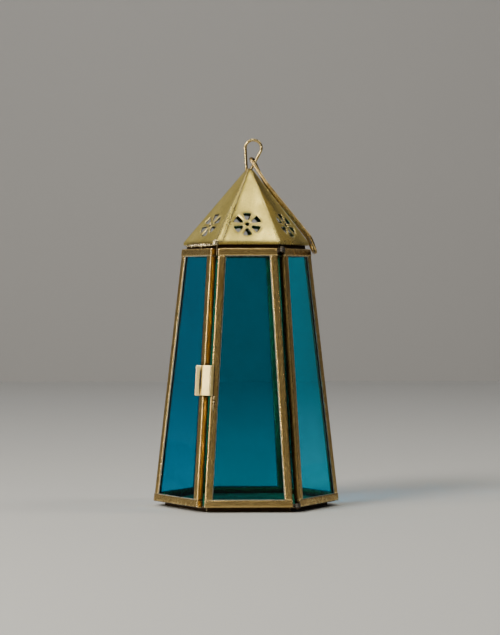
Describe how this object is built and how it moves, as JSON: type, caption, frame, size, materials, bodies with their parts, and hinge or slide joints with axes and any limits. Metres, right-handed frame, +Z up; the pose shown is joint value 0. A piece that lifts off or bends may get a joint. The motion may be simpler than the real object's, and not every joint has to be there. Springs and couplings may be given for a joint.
{
  "type": "hexagonal glass and brass lantern",
  "caption": "Tapering hexagonal brass lantern with teal glass panels, a hinged latched front door, a pierced pointed roof and a wire carrying ring.",
  "frame": {"origin": "on the lantern's axis, at the level that the foot rim stands on", "axes": "+Z up; the door faces -Y; +X to the right of a person who faces the door"},
  "size_m": [0.126, 0.1138, 0.2497],
  "materials": {
    "channel_brass": "aged, hand rubbed",
    "roof_brass": "aged satin",
    "sheet_brass": "aged, dull",
    "wire_brass": "drawn wire, worn",
    "latch_brass": "polished by handling",
    "hinge_steel": "dark, tarnished",
    "solder": "rough, dull",
    "teal_glass": "clear coloured glass"
  },
  "bodies": {
    "frame": {"foot_rim": "sheet_brass", "floor_plate": "sheet_brass", "right_front_rail_bottom": "channel_brass", "right_front_rail_top": "channel_brass", "right_front_stile_left": "channel_brass", "right_front_stile_right": "channel_brass", "right_front_glass": "teal_glass", "right_back_rail_bottom": "channel_brass", "right_back_rail_top": "channel_brass", "right_back_stile_left": "channel_brass", "right_back_stile_right": "channel_brass", "right_back_glass": "teal_glass", "back_rail_bottom": "channel_brass", "back_rail_top": "channel_brass", "back_stile_left": "channel_brass", "back_stile_right": "channel_brass", "back_glass": "teal_glass", "left_back_rail_bottom": "channel_brass", "left_back_rail_top": "channel_brass", "left_back_stile_left": "channel_brass", "left_back_stile_right": "channel_brass", "left_back_glass": "teal_glass", "left_front_rail_bottom": "channel_brass", "left_front_rail_top": "channel_brass", "left_front_stile_left": "channel_brass", "left_front_stile_right": "channel_brass", "left_front_glass": "teal_glass", "corner_seam_1": "solder", "corner_seam_2": "solder", "corner_seam_3": "solder", "corner_seam_4": "solder", "roof_collar": "sheet_brass", "roof": "roof_brass", "hanging_eye": "wire_brass", "hinge_lug_bottom": "hinge_steel", "hinge_lug_top": "hinge_steel", "hinge_pin_bottom": "hinge_steel", "hinge_pin_top": "hinge_steel"},
    "door": {"door_rail_bottom": "channel_brass", "door_rail_top": "channel_brass", "door_stile_left": "channel_brass", "door_stile_right": "channel_brass", "door_glass": "teal_glass", "door_ear_bottom": "hinge_steel", "door_ear_top": "hinge_steel", "latch_foot": "latch_brass"},
    "latch": {"latch_leaf": "latch_brass"},
    "ring": {"carrying_ring": "wire_brass"}
  },
  "joints": [
    {"name": "door_swing", "type": "hinge", "parent": "frame", "child": "door", "pos_m": [0.03235, -0.05603, 0.00341], "axis": [-0.0564, 0.0976, 0.9936], "range_deg": [0, 150]},
    {"name": "latch_flex", "type": "hinge", "parent": "door", "child": "latch", "pos_m": [-0.03005, -0.05674, 0.00335], "axis": [0.0564, 0.0976, 0.9936], "range_deg": [0, 12], "stiffness_Nm_per_rad": 0.12, "springref_deg": -2.86},
    {"name": "ring_swing", "type": "hinge", "parent": "frame", "child": "ring", "pos_m": [0.0036, 0, 0.23601], "axis": [0, -1, 0], "range_deg": [0, 275]}
  ]
}
